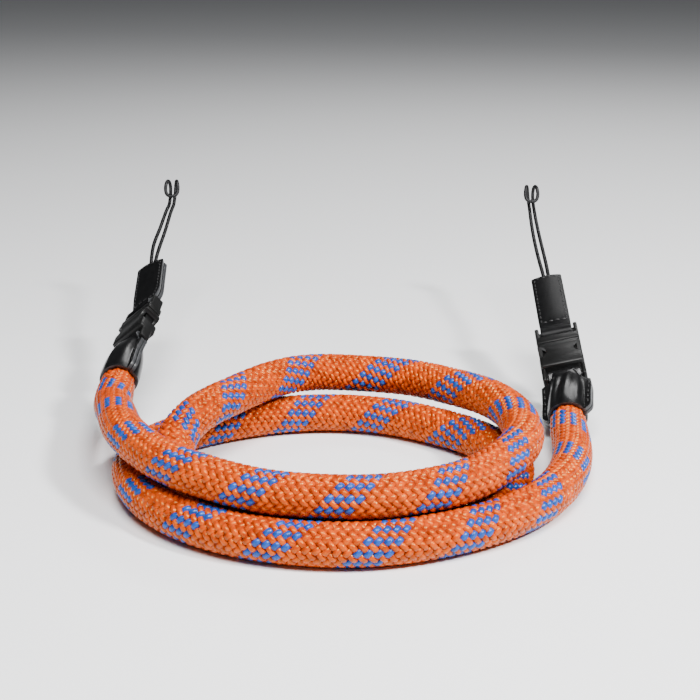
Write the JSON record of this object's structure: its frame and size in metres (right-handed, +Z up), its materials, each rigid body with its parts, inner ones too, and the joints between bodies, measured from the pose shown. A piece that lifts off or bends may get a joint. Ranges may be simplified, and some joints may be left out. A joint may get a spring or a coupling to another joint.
{
  "type": "braided rope camera strap",
  "caption": "Thick round braided rope strap lying in a coil, with leather end caps, mini side-release buckles, leather tabs and thin cord loops that hang on a carrier's eyes.",
  "frame": {"origin": "midway between the two eyes that the cord loops hang by, 48 mm above the surface that the rope lies on", "axes": "+X to the viewer's right, +Y away from the viewer along the two ends, +Z up"},
  "size_m": [0.1449, 0.2251, 0.0515],
  "materials": {
    "rope_braid": "round tubular polyester braid with a soft satin sheen, orange with blocks of blue tracer checks",
    "black_leather": "smooth black leather with fine grain and a soft gloss, stitched, with painted grey-black edges",
    "buckle_plastic": "moulded black acetal plastic, finely textured satin",
    "loop_cord": "thin round waxed black cord"
  },
  "bodies": {
    "root": {"rope": "rope_braid", "left_end_cap": "black_leather", "left_buckle_socket": "buckle_plastic", "left_buckle_plug": "buckle_plastic", "left_tab": "black_leather", "left_cord_loop": "loop_cord", "right_end_cap": "black_leather", "right_buckle_socket": "buckle_plastic", "right_buckle_plug": "buckle_plastic", "right_tab": "black_leather", "right_cord_loop": "loop_cord"}
  },
  "joints": []
}
